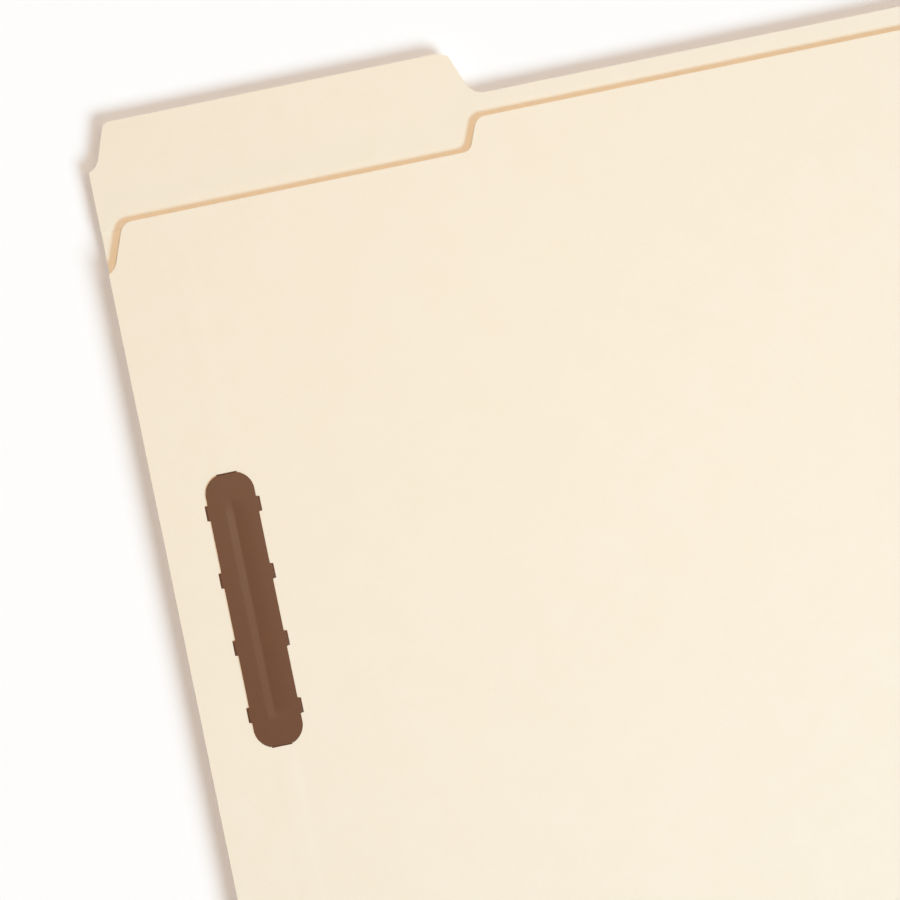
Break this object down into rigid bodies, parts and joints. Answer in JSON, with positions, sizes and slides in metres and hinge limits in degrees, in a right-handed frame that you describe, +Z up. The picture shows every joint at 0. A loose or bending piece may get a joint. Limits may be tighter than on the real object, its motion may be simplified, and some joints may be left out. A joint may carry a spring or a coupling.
{
  "type": "fastener folder",
  "caption": "Manila file folder lying closed, with a reinforced cut tab, an undercut front, a scored gusset and prong fasteners with compressors and sliding keepers.",
  "frame": {"origin": "middle of the closed folder's footprint, on the surface that it lies on", "axes": "+X along the fold from the tab's side to the far side, +Y from the fold to the tab, +Z up out of the front panel"},
  "size_m": [0.2984, 0.2414, 0.004],
  "materials": {
    "manila_board": "buff 11-point manila board, matt with a faint fibre mottle",
    "coated_steel": "tin-plated steel strip with a brown satin coating"
  },
  "bodies": {
    "back_panel": {"back_panel": "manila_board", "tab_reinforcement": "manila_board", "back_fastener": "coated_steel", "back_compressor": "coated_steel"},
    "back_upper_slide": {"back_upper_slide": "coated_steel"},
    "back_lower_slide": {"back_lower_slide": "coated_steel"},
    "bottom_fold": {"bottom_fold": "manila_board"},
    "expansion_gusset": {"expansion_gusset": "manila_board"},
    "front_panel": {"front_panel": "manila_board", "front_fastener": "coated_steel", "front_compressor": "coated_steel"},
    "front_upper_slide": {"front_upper_slide": "coated_steel"},
    "front_lower_slide": {"front_lower_slide": "coated_steel"}
  },
  "joints": [
    {"name": "cover_open", "type": "hinge", "parent": "back_panel", "child": "bottom_fold", "pos_m": [0, -0.12068, 0.00198], "axis": [1, 0, 0], "range_deg": [0, 180]},
    {"name": "gusset_expand", "type": "hinge", "parent": "bottom_fold", "child": "expansion_gusset", "pos_m": [0, -0.12065, 0.00356], "axis": [-1, 0, 0], "range_deg": [-90, 0]},
    {"name": "front_level", "type": "hinge", "parent": "expansion_gusset", "child": "front_panel", "pos_m": [0, -0.1016, 0.00328], "axis": [-1, 0, 0], "range_deg": [0, 90]},
    {"name": "back_upper_keeper", "type": "slide", "parent": "back_panel", "child": "back_upper_slide", "axis": [0, 1, 0], "range_m": [-0.006, 0.0155]},
    {"name": "back_lower_keeper", "type": "slide", "parent": "back_panel", "child": "back_lower_slide", "axis": [0, -1, 0], "range_m": [-0.006, 0.0155]},
    {"name": "front_upper_keeper", "type": "slide", "parent": "front_panel", "child": "front_upper_slide", "axis": [0, 1, 0], "range_m": [-0.006, 0.0155]},
    {"name": "front_lower_keeper", "type": "slide", "parent": "front_panel", "child": "front_lower_slide", "axis": [0, -1, 0], "range_m": [-0.006, 0.0155]}
  ],
  "couplings": [
    {"joint": "front_level", "follows": "gusset_expand", "ratio": -1}
  ]
}
